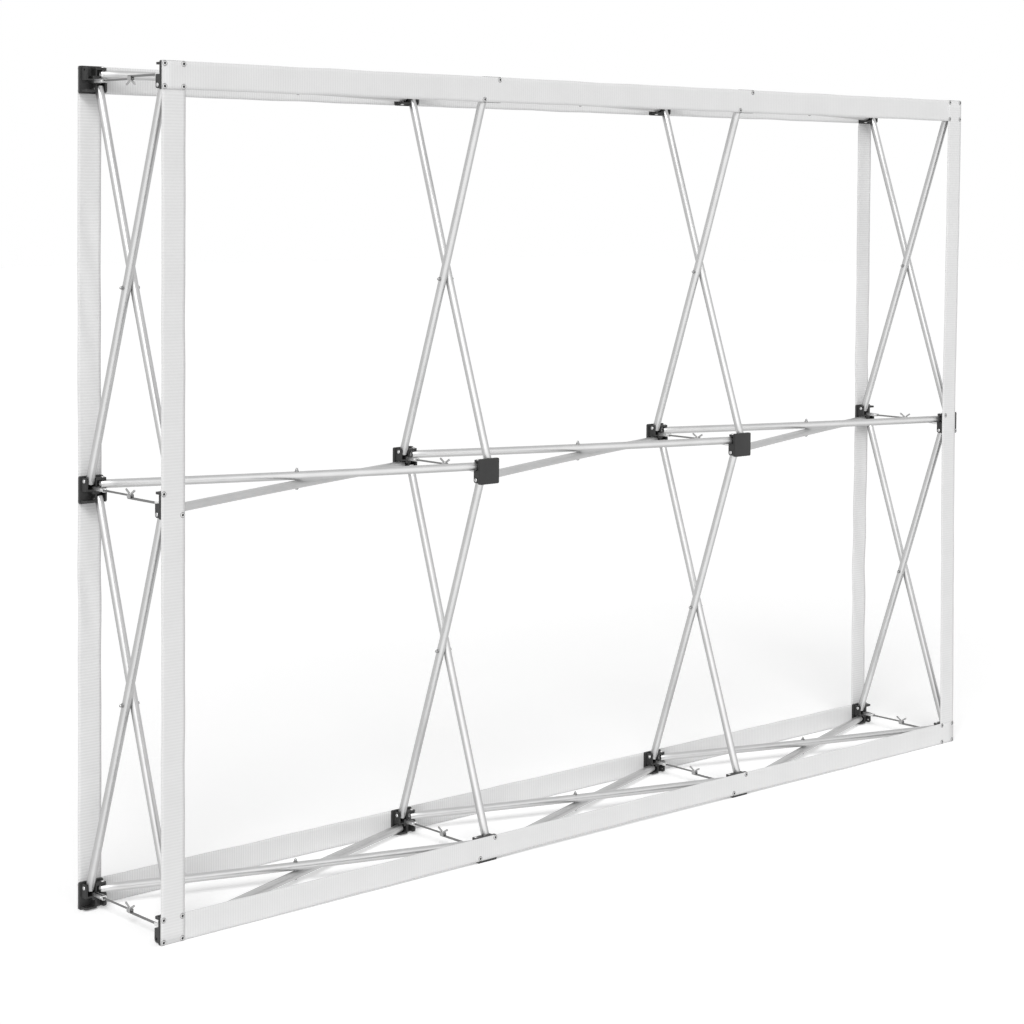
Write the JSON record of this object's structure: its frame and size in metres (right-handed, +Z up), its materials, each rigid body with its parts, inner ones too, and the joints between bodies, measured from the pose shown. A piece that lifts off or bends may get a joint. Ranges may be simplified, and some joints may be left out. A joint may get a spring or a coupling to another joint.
{
  "type": "straight banner wall",
  "caption": "Straight pop-up banner wall frame: two layers of square hubs joined by crossed folding tubes, with loop-tape strips round the edges to hold a fabric banner.",
  "frame": {"origin": "middle of the wall's footprint, on the floor", "axes": "+X along the wall to its right end as seen from the front, +Y to the back, +Z up"},
  "size_m": [2.27, 0.2688, 1.53],
  "materials": {
    "hub_plastic": "fine-textured black moulded plastic",
    "tube_aluminium": "satin drawn tube",
    "loop_tape": "off-white ribbed loop tape"
  },
  "bodies": {
    "front_hub_1_bottom": {"front_hub_1_bottom": "hub_plastic"},
    "front_hub_2_bottom": {"front_hub_2_bottom": "hub_plastic", "front_strips": "loop_tape", "back_strips": "loop_tape"},
    "front_hub_3_bottom": {"front_hub_3_bottom": "hub_plastic"},
    "front_hub_4_bottom": {"front_hub_4_bottom": "hub_plastic"},
    "front_hub_1_middle": {"front_hub_1_middle": "hub_plastic"},
    "front_hub_2_middle": {"front_hub_2_middle": "hub_plastic"},
    "front_hub_3_middle": {"front_hub_3_middle": "hub_plastic"},
    "front_hub_4_middle": {"front_hub_4_middle": "hub_plastic"},
    "front_hub_1_top": {"front_hub_1_top": "hub_plastic"},
    "front_hub_2_top": {"front_hub_2_top": "hub_plastic"},
    "front_hub_3_top": {"front_hub_3_top": "hub_plastic"},
    "front_hub_4_top": {"front_hub_4_top": "hub_plastic"},
    "back_hub_1_bottom": {"back_hub_1_bottom": "hub_plastic"},
    "back_hub_2_bottom": {"back_hub_2_bottom": "hub_plastic"},
    "back_hub_3_bottom": {"back_hub_3_bottom": "hub_plastic"},
    "back_hub_4_bottom": {"back_hub_4_bottom": "hub_plastic"},
    "back_hub_1_middle": {"back_hub_1_middle": "hub_plastic"},
    "back_hub_2_middle": {"back_hub_2_middle": "hub_plastic"},
    "back_hub_3_middle": {"back_hub_3_middle": "hub_plastic"},
    "back_hub_4_middle": {"back_hub_4_middle": "hub_plastic"},
    "back_hub_1_top": {"back_hub_1_top": "hub_plastic"},
    "back_hub_2_top": {"back_hub_2_top": "hub_plastic"},
    "back_hub_3_top": {"back_hub_3_top": "hub_plastic"},
    "back_hub_4_top": {"back_hub_4_top": "hub_plastic"},
    "level_tube_bottom_bay_1_lower": {"level_tube_bottom_bay_1_lower": "tube_aluminium"},
    "level_tube_bottom_bay_1_upper": {"level_tube_bottom_bay_1_upper": "tube_aluminium"},
    "level_tube_bottom_bay_2_lower": {"level_tube_bottom_bay_2_lower": "tube_aluminium"},
    "level_tube_bottom_bay_2_upper": {"level_tube_bottom_bay_2_upper": "tube_aluminium"},
    "level_tube_bottom_bay_3_lower": {"level_tube_bottom_bay_3_lower": "tube_aluminium"},
    "level_tube_bottom_bay_3_upper": {"level_tube_bottom_bay_3_upper": "tube_aluminium"},
    "level_tube_middle_bay_1_lower": {"level_tube_middle_bay_1_lower": "tube_aluminium"},
    "level_tube_middle_bay_1_upper": {"level_tube_middle_bay_1_upper": "tube_aluminium"},
    "level_tube_middle_bay_2_lower": {"level_tube_middle_bay_2_lower": "tube_aluminium"},
    "level_tube_middle_bay_2_upper": {"level_tube_middle_bay_2_upper": "tube_aluminium"},
    "level_tube_middle_bay_3_lower": {"level_tube_middle_bay_3_lower": "tube_aluminium"},
    "level_tube_middle_bay_3_upper": {"level_tube_middle_bay_3_upper": "tube_aluminium"},
    "level_tube_top_bay_1_lower": {"level_tube_top_bay_1_lower": "tube_aluminium"},
    "level_tube_top_bay_1_upper": {"level_tube_top_bay_1_upper": "tube_aluminium"},
    "level_tube_top_bay_2_lower": {"level_tube_top_bay_2_lower": "tube_aluminium"},
    "level_tube_top_bay_2_upper": {"level_tube_top_bay_2_upper": "tube_aluminium"},
    "level_tube_top_bay_3_lower": {"level_tube_top_bay_3_lower": "tube_aluminium"},
    "level_tube_top_bay_3_upper": {"level_tube_top_bay_3_upper": "tube_aluminium"},
    "upright_tube_1_low_left": {"upright_tube_1_low_left": "tube_aluminium"},
    "upright_tube_1_low_right": {"upright_tube_1_low_right": "tube_aluminium"},
    "upright_tube_1_high_left": {"upright_tube_1_high_left": "tube_aluminium"},
    "upright_tube_1_high_right": {"upright_tube_1_high_right": "tube_aluminium"},
    "upright_tube_2_low_left": {"upright_tube_2_low_left": "tube_aluminium"},
    "upright_tube_2_low_right": {"upright_tube_2_low_right": "tube_aluminium"},
    "upright_tube_2_high_left": {"upright_tube_2_high_left": "tube_aluminium"},
    "upright_tube_2_high_right": {"upright_tube_2_high_right": "tube_aluminium"},
    "upright_tube_3_low_left": {"upright_tube_3_low_left": "tube_aluminium"},
    "upright_tube_3_low_right": {"upright_tube_3_low_right": "tube_aluminium"},
    "upright_tube_3_high_left": {"upright_tube_3_high_left": "tube_aluminium"},
    "upright_tube_3_high_right": {"upright_tube_3_high_right": "tube_aluminium"},
    "upright_tube_4_low_left": {"upright_tube_4_low_left": "tube_aluminium"},
    "upright_tube_4_low_right": {"upright_tube_4_low_right": "tube_aluminium"},
    "upright_tube_4_high_left": {"upright_tube_4_high_left": "tube_aluminium"},
    "upright_tube_4_high_right": {"upright_tube_4_high_right": "tube_aluminium"}
  },
  "joints": [
    {"name": "fold", "type": "hinge", "parent": "front_hub_2_bottom", "child": "level_tube_bottom_bay_2_lower", "pos_m": [-0.353, -0.1165, 0.01525], "axis": [0, 0, 1], "range_deg": [0, 69.4], "deforming": ["front_strips", "back_strips"]},
    {"name": "pivot_level_tube_bottom_bay_1_upper", "type": "hinge", "parent": "front_hub_2_bottom", "child": "level_tube_bottom_bay_1_upper", "pos_m": [-0.387, -0.1165, 0.03475], "axis": [0, 0, 1], "range_deg": [-69.4, 0]},
    {"name": "pivot_upright_tube_2_low_right", "type": "hinge", "parent": "front_hub_2_bottom", "child": "upright_tube_2_low_right", "pos_m": [-0.36025, -0.1165, 0.042], "axis": [1, 0, 0], "range_deg": [-69.4, 0]},
    {"name": "pivot_back_hub_2_middle", "type": "hinge", "parent": "upright_tube_2_low_right", "child": "back_hub_2_middle", "pos_m": [-0.36025, 0.1165, 0.748], "axis": [1, 0, 0], "range_deg": [0, 69.4]},
    {"name": "pivot_upright_tube_2_high_left", "type": "hinge", "parent": "back_hub_2_middle", "child": "upright_tube_2_high_left", "pos_m": [-0.37975, 0.1165, 0.782], "axis": [1, 0, 0], "range_deg": [0, 69.4]},
    {"name": "pivot_level_tube_middle_bay_1_lower", "type": "hinge", "parent": "back_hub_2_middle", "child": "level_tube_middle_bay_1_lower", "pos_m": [-0.387, 0.1165, 0.75525], "axis": [0, 0, 1], "range_deg": [0, 69.4]},
    {"name": "pivot_level_tube_middle_bay_2_upper", "type": "hinge", "parent": "back_hub_2_middle", "child": "level_tube_middle_bay_2_upper", "pos_m": [-0.353, 0.1165, 0.77475], "axis": [0, 0, 1], "range_deg": [-69.4, 0]},
    {"name": "pivot_front_hub_1_middle", "type": "hinge", "parent": "level_tube_middle_bay_1_lower", "child": "front_hub_1_middle", "pos_m": [-1.093, -0.1165, 0.75525], "axis": [0, 0, 1], "range_deg": [-69.4, 0]},
    {"name": "pivot_upright_tube_1_low_left", "type": "hinge", "parent": "front_hub_1_middle", "child": "upright_tube_1_low_left", "pos_m": [-1.11975, -0.1165, 0.748], "axis": [1, 0, 0], "range_deg": [0, 69.4]},
    {"name": "pivot_upright_tube_1_high_right", "type": "hinge", "parent": "front_hub_1_middle", "child": "upright_tube_1_high_right", "pos_m": [-1.10025, -0.1165, 0.782], "axis": [1, 0, 0], "range_deg": [-69.4, 0]},
    {"name": "pivot_front_hub_3_middle", "type": "hinge", "parent": "level_tube_middle_bay_2_upper", "child": "front_hub_3_middle", "pos_m": [0.353, -0.1165, 0.77475], "axis": [0, 0, 1], "range_deg": [0, 69.4]},
    {"name": "pivot_upright_tube_3_low_left", "type": "hinge", "parent": "front_hub_3_middle", "child": "upright_tube_3_low_left", "pos_m": [0.36025, -0.1165, 0.748], "axis": [1, 0, 0], "range_deg": [0, 69.4]},
    {"name": "pivot_upright_tube_3_high_right", "type": "hinge", "parent": "front_hub_3_middle", "child": "upright_tube_3_high_right", "pos_m": [0.37975, -0.1165, 0.782], "axis": [1, 0, 0], "range_deg": [-69.4, 0]},
    {"name": "pivot_level_tube_middle_bay_3_lower", "type": "hinge", "parent": "front_hub_3_middle", "child": "level_tube_middle_bay_3_lower", "pos_m": [0.387, -0.1165, 0.75525], "axis": [0, 0, 1], "range_deg": [0, 69.4]},
    {"name": "pivot_back_hub_4_middle", "type": "hinge", "parent": "level_tube_middle_bay_3_lower", "child": "back_hub_4_middle", "pos_m": [1.093, 0.1165, 0.75525], "axis": [0, 0, 1], "range_deg": [-69.4, 0]},
    {"name": "pivot_upright_tube_4_low_right", "type": "hinge", "parent": "back_hub_4_middle", "child": "upright_tube_4_low_right", "pos_m": [1.11975, 0.1165, 0.748], "axis": [1, 0, 0], "range_deg": [-69.4, 0]},
    {"name": "pivot_upright_tube_4_high_left", "type": "hinge", "parent": "back_hub_4_middle", "child": "upright_tube_4_high_left", "pos_m": [1.10025, 0.1165, 0.782], "axis": [1, 0, 0], "range_deg": [0, 69.4]},
    {"name": "pivot_front_hub_2_top", "type": "hinge", "parent": "upright_tube_2_high_left", "child": "front_hub_2_top", "pos_m": [-0.37975, -0.1165, 1.488], "axis": [1, 0, 0], "range_deg": [-69.4, 0]},
    {"name": "pivot_level_tube_top_bay_1_upper", "type": "hinge", "parent": "front_hub_2_top", "child": "level_tube_top_bay_1_upper", "pos_m": [-0.387, -0.1165, 1.51475], "axis": [0, 0, 1], "range_deg": [-69.4, 0]},
    {"name": "pivot_level_tube_top_bay_2_lower", "type": "hinge", "parent": "front_hub_2_top", "child": "level_tube_top_bay_2_lower", "pos_m": [-0.353, -0.1165, 1.49525], "axis": [0, 0, 1], "range_deg": [0, 69.4]},
    {"name": "pivot_back_hub_3_bottom", "type": "hinge", "parent": "upright_tube_3_low_left", "child": "back_hub_3_bottom", "pos_m": [0.36025, 0.1165, 0.042], "axis": [1, 0, 0], "range_deg": [-69.4, 0]},
    {"name": "pivot_level_tube_bottom_bay_3_upper", "type": "hinge", "parent": "back_hub_3_bottom", "child": "level_tube_bottom_bay_3_upper", "pos_m": [0.387, 0.1165, 0.03475], "axis": [0, 0, 1], "range_deg": [-69.4, 0]},
    {"name": "pivot_back_hub_3_top", "type": "hinge", "parent": "upright_tube_3_high_right", "child": "back_hub_3_top", "pos_m": [0.37975, 0.1165, 1.488], "axis": [1, 0, 0], "range_deg": [0, 69.4]},
    {"name": "pivot_level_tube_top_bay_3_upper", "type": "hinge", "parent": "back_hub_3_top", "child": "level_tube_top_bay_3_upper", "pos_m": [0.387, 0.1165, 1.51475], "axis": [0, 0, 1], "range_deg": [-69.4, 0]},
    {"name": "pivot_level_tube_bottom_bay_2_upper", "type": "hinge", "parent": "level_tube_bottom_bay_2_lower", "child": "level_tube_bottom_bay_2_upper", "pos_m": [0, 0, 0.025], "axis": [0, 0, 1], "range_deg": [-138.8, 0]},
    {"name": "pivot_level_tube_bottom_bay_1_lower", "type": "hinge", "parent": "level_tube_bottom_bay_1_upper", "child": "level_tube_bottom_bay_1_lower", "pos_m": [-0.74, 0, 0.025], "axis": [0, 0, 1], "range_deg": [0, 138.8]},
    {"name": "pivot_upright_tube_2_low_left", "type": "hinge", "parent": "upright_tube_2_low_right", "child": "upright_tube_2_low_left", "pos_m": [-0.37, 0, 0.395], "axis": [1, 0, 0], "range_deg": [0, 138.8]},
    {"name": "pivot_upright_tube_2_high_right", "type": "hinge", "parent": "upright_tube_2_high_left", "child": "upright_tube_2_high_right", "pos_m": [-0.37, 0, 1.135], "axis": [1, 0, 0], "range_deg": [-138.8, 0]},
    {"name": "pivot_level_tube_middle_bay_1_upper", "type": "hinge", "parent": "level_tube_middle_bay_1_lower", "child": "level_tube_middle_bay_1_upper", "pos_m": [-0.74, 0, 0.765], "axis": [0, 0, 1], "range_deg": [-138.8, 0]},
    {"name": "pivot_level_tube_middle_bay_2_lower", "type": "hinge", "parent": "level_tube_middle_bay_2_upper", "child": "level_tube_middle_bay_2_lower", "pos_m": [0, 0, 0.765], "axis": [0, 0, 1], "range_deg": [0, 138.8]},
    {"name": "pivot_upright_tube_1_low_right", "type": "hinge", "parent": "upright_tube_1_low_left", "child": "upright_tube_1_low_right", "pos_m": [-1.11, 0, 0.395], "axis": [1, 0, 0], "range_deg": [-138.8, 0]},
    {"name": "pivot_upright_tube_1_high_left", "type": "hinge", "parent": "upright_tube_1_high_right", "child": "upright_tube_1_high_left", "pos_m": [-1.11, 0, 1.135], "axis": [1, 0, 0], "range_deg": [0, 138.8]},
    {"name": "pivot_upright_tube_3_low_right", "type": "hinge", "parent": "upright_tube_3_low_left", "child": "upright_tube_3_low_right", "pos_m": [0.37, 0, 0.395], "axis": [1, 0, 0], "range_deg": [-138.8, 0]},
    {"name": "pivot_upright_tube_3_high_left", "type": "hinge", "parent": "upright_tube_3_high_right", "child": "upright_tube_3_high_left", "pos_m": [0.37, 0, 1.135], "axis": [1, 0, 0], "range_deg": [0, 138.8]},
    {"name": "pivot_level_tube_middle_bay_3_upper", "type": "hinge", "parent": "level_tube_middle_bay_3_lower", "child": "level_tube_middle_bay_3_upper", "pos_m": [0.74, 0, 0.765], "axis": [0, 0, 1], "range_deg": [-138.8, 0]},
    {"name": "pivot_upright_tube_4_low_left", "type": "hinge", "parent": "upright_tube_4_low_right", "child": "upright_tube_4_low_left", "pos_m": [1.11, 0, 0.395], "axis": [1, 0, 0], "range_deg": [0, 138.8]},
    {"name": "pivot_upright_tube_4_high_right", "type": "hinge", "parent": "upright_tube_4_high_left", "child": "upright_tube_4_high_right", "pos_m": [1.11, 0, 1.135], "axis": [1, 0, 0], "range_deg": [-138.8, 0]},
    {"name": "pivot_level_tube_top_bay_1_lower", "type": "hinge", "parent": "level_tube_top_bay_1_upper", "child": "level_tube_top_bay_1_lower", "pos_m": [-0.74, 0, 1.505], "axis": [0, 0, 1], "range_deg": [0, 138.8]},
    {"name": "pivot_level_tube_top_bay_2_upper", "type": "hinge", "parent": "level_tube_top_bay_2_lower", "child": "level_tube_top_bay_2_upper", "pos_m": [0, 0, 1.505], "axis": [0, 0, 1], "range_deg": [-138.8, 0]},
    {"name": "pivot_level_tube_bottom_bay_3_lower", "type": "hinge", "parent": "level_tube_bottom_bay_3_upper", "child": "level_tube_bottom_bay_3_lower", "pos_m": [0.74, 0, 0.025], "axis": [0, 0, 1], "range_deg": [0, 138.8]},
    {"name": "pivot_level_tube_top_bay_3_lower", "type": "hinge", "parent": "level_tube_top_bay_3_upper", "child": "level_tube_top_bay_3_lower", "pos_m": [0.74, 0, 1.505], "axis": [0, 0, 1], "range_deg": [0, 138.8]},
    {"name": "pivot_front_hub_1_bottom", "type": "hinge", "parent": "level_tube_bottom_bay_1_lower", "child": "front_hub_1_bottom", "pos_m": [-1.093, -0.1165, 0.01525], "axis": [0, 0, 1], "range_deg": [-69.4, 0]},
    {"name": "pivot_front_hub_3_bottom", "type": "hinge", "parent": "level_tube_bottom_bay_2_upper", "child": "front_hub_3_bottom", "pos_m": [0.353, -0.1165, 0.03475], "axis": [0, 0, 1], "range_deg": [0, 69.4]},
    {"name": "pivot_front_hub_4_bottom", "type": "hinge", "parent": "level_tube_bottom_bay_3_upper", "child": "front_hub_4_bottom", "pos_m": [1.093, -0.1165, 0.03475], "axis": [0, 0, 1], "range_deg": [0, 69.4]},
    {"name": "pivot_front_hub_2_middle", "type": "hinge", "parent": "upright_tube_2_low_left", "child": "front_hub_2_middle", "pos_m": [-0.37975, -0.1165, 0.748], "axis": [1, 0, 0], "range_deg": [-69.4, 0]},
    {"name": "pivot_front_hub_4_middle", "type": "hinge", "parent": "level_tube_middle_bay_3_upper", "child": "front_hub_4_middle", "pos_m": [1.093, -0.1165, 0.77475], "axis": [0, 0, 1], "range_deg": [0, 69.4]},
    {"name": "pivot_front_hub_1_top", "type": "hinge", "parent": "level_tube_top_bay_1_lower", "child": "front_hub_1_top", "pos_m": [-1.093, -0.1165, 1.49525], "axis": [0, 0, 1], "range_deg": [-69.4, 0]},
    {"name": "pivot_front_hub_3_top", "type": "hinge", "parent": "level_tube_top_bay_2_upper", "child": "front_hub_3_top", "pos_m": [0.353, -0.1165, 1.51475], "axis": [0, 0, 1], "range_deg": [0, 69.4]},
    {"name": "pivot_front_hub_4_top", "type": "hinge", "parent": "level_tube_top_bay_3_upper", "child": "front_hub_4_top", "pos_m": [1.093, -0.1165, 1.51475], "axis": [0, 0, 1], "range_deg": [0, 69.4]},
    {"name": "pivot_back_hub_1_bottom", "type": "hinge", "parent": "level_tube_bottom_bay_1_upper", "child": "back_hub_1_bottom", "pos_m": [-1.093, 0.1165, 0.03475], "axis": [0, 0, 1], "range_deg": [0, 69.4]},
    {"name": "pivot_back_hub_2_bottom", "type": "hinge", "parent": "level_tube_bottom_bay_1_lower", "child": "back_hub_2_bottom", "pos_m": [-0.387, 0.1165, 0.01525], "axis": [0, 0, 1], "range_deg": [-69.4, 0]},
    {"name": "pivot_back_hub_4_bottom", "type": "hinge", "parent": "level_tube_bottom_bay_3_lower", "child": "back_hub_4_bottom", "pos_m": [1.093, 0.1165, 0.01525], "axis": [0, 0, 1], "range_deg": [-69.4, 0]},
    {"name": "pivot_back_hub_1_middle", "type": "hinge", "parent": "level_tube_middle_bay_1_upper", "child": "back_hub_1_middle", "pos_m": [-1.093, 0.1165, 0.77475], "axis": [0, 0, 1], "range_deg": [0, 69.4]},
    {"name": "pivot_back_hub_3_middle", "type": "hinge", "parent": "level_tube_middle_bay_2_lower", "child": "back_hub_3_middle", "pos_m": [0.353, 0.1165, 0.75525], "axis": [0, 0, 1], "range_deg": [-69.4, 0]},
    {"name": "pivot_back_hub_1_top", "type": "hinge", "parent": "level_tube_top_bay_1_upper", "child": "back_hub_1_top", "pos_m": [-1.093, 0.1165, 1.51475], "axis": [0, 0, 1], "range_deg": [0, 69.4]},
    {"name": "pivot_back_hub_2_top", "type": "hinge", "parent": "upright_tube_2_high_right", "child": "back_hub_2_top", "pos_m": [-0.36025, 0.1165, 1.488], "axis": [1, 0, 0], "range_deg": [0, 69.4]},
    {"name": "pivot_back_hub_4_top", "type": "hinge", "parent": "level_tube_top_bay_3_lower", "child": "back_hub_4_top", "pos_m": [1.093, 0.1165, 1.49525], "axis": [0, 0, 1], "range_deg": [-69.4, 0]}
  ],
  "couplings": [
    {"joint": "pivot_level_tube_bottom_bay_1_upper", "follows": "fold", "ratio": -1},
    {"joint": "pivot_upright_tube_2_low_right", "follows": "fold", "ratio": -1},
    {"joint": "pivot_back_hub_2_middle", "follows": "fold", "ratio": 1},
    {"joint": "pivot_upright_tube_2_high_left", "follows": "fold", "ratio": 1},
    {"joint": "pivot_level_tube_middle_bay_1_lower", "follows": "fold", "ratio": 1},
    {"joint": "pivot_level_tube_middle_bay_2_upper", "follows": "fold", "ratio": -1},
    {"joint": "pivot_front_hub_1_middle", "follows": "fold", "ratio": -1},
    {"joint": "pivot_upright_tube_1_low_left", "follows": "fold", "ratio": 1},
    {"joint": "pivot_upright_tube_1_high_right", "follows": "fold", "ratio": -1},
    {"joint": "pivot_front_hub_3_middle", "follows": "fold", "ratio": 1},
    {"joint": "pivot_upright_tube_3_low_left", "follows": "fold", "ratio": 1},
    {"joint": "pivot_upright_tube_3_high_right", "follows": "fold", "ratio": -1},
    {"joint": "pivot_level_tube_middle_bay_3_lower", "follows": "fold", "ratio": 1},
    {"joint": "pivot_back_hub_4_middle", "follows": "fold", "ratio": -1},
    {"joint": "pivot_upright_tube_4_low_right", "follows": "fold", "ratio": -1},
    {"joint": "pivot_upright_tube_4_high_left", "follows": "fold", "ratio": 1},
    {"joint": "pivot_front_hub_2_top", "follows": "fold", "ratio": -1},
    {"joint": "pivot_level_tube_top_bay_1_upper", "follows": "fold", "ratio": -1},
    {"joint": "pivot_level_tube_top_bay_2_lower", "follows": "fold", "ratio": 1},
    {"joint": "pivot_back_hub_3_bottom", "follows": "fold", "ratio": -1},
    {"joint": "pivot_level_tube_bottom_bay_3_upper", "follows": "fold", "ratio": -1},
    {"joint": "pivot_back_hub_3_top", "follows": "fold", "ratio": 1},
    {"joint": "pivot_level_tube_top_bay_3_upper", "follows": "fold", "ratio": -1},
    {"joint": "pivot_level_tube_bottom_bay_2_upper", "follows": "fold", "ratio": -2},
    {"joint": "pivot_level_tube_bottom_bay_1_lower", "follows": "fold", "ratio": 2},
    {"joint": "pivot_upright_tube_2_low_left", "follows": "fold", "ratio": 2},
    {"joint": "pivot_upright_tube_2_high_right", "follows": "fold", "ratio": -2},
    {"joint": "pivot_level_tube_middle_bay_1_upper", "follows": "fold", "ratio": -2},
    {"joint": "pivot_level_tube_middle_bay_2_lower", "follows": "fold", "ratio": 2},
    {"joint": "pivot_upright_tube_1_low_right", "follows": "fold", "ratio": -2},
    {"joint": "pivot_upright_tube_1_high_left", "follows": "fold", "ratio": 2},
    {"joint": "pivot_upright_tube_3_low_right", "follows": "fold", "ratio": -2},
    {"joint": "pivot_upright_tube_3_high_left", "follows": "fold", "ratio": 2},
    {"joint": "pivot_level_tube_middle_bay_3_upper", "follows": "fold", "ratio": -2},
    {"joint": "pivot_upright_tube_4_low_left", "follows": "fold", "ratio": 2},
    {"joint": "pivot_upright_tube_4_high_right", "follows": "fold", "ratio": -2},
    {"joint": "pivot_level_tube_top_bay_1_lower", "follows": "fold", "ratio": 2},
    {"joint": "pivot_level_tube_top_bay_2_upper", "follows": "fold", "ratio": -2},
    {"joint": "pivot_level_tube_bottom_bay_3_lower", "follows": "fold", "ratio": 2},
    {"joint": "pivot_level_tube_top_bay_3_lower", "follows": "fold", "ratio": 2},
    {"joint": "pivot_front_hub_1_bottom", "follows": "fold", "ratio": -1},
    {"joint": "pivot_front_hub_3_bottom", "follows": "fold", "ratio": 1},
    {"joint": "pivot_front_hub_4_bottom", "follows": "fold", "ratio": 1},
    {"joint": "pivot_front_hub_2_middle", "follows": "fold", "ratio": -1},
    {"joint": "pivot_front_hub_4_middle", "follows": "fold", "ratio": 1},
    {"joint": "pivot_front_hub_1_top", "follows": "fold", "ratio": -1},
    {"joint": "pivot_front_hub_3_top", "follows": "fold", "ratio": 1},
    {"joint": "pivot_front_hub_4_top", "follows": "fold", "ratio": 1},
    {"joint": "pivot_back_hub_1_bottom", "follows": "fold", "ratio": 1},
    {"joint": "pivot_back_hub_2_bottom", "follows": "fold", "ratio": -1},
    {"joint": "pivot_back_hub_4_bottom", "follows": "fold", "ratio": -1},
    {"joint": "pivot_back_hub_1_middle", "follows": "fold", "ratio": 1},
    {"joint": "pivot_back_hub_3_middle", "follows": "fold", "ratio": -1},
    {"joint": "pivot_back_hub_1_top", "follows": "fold", "ratio": 1},
    {"joint": "pivot_back_hub_2_top", "follows": "fold", "ratio": 1},
    {"joint": "pivot_back_hub_4_top", "follows": "fold", "ratio": -1}
  ]
}
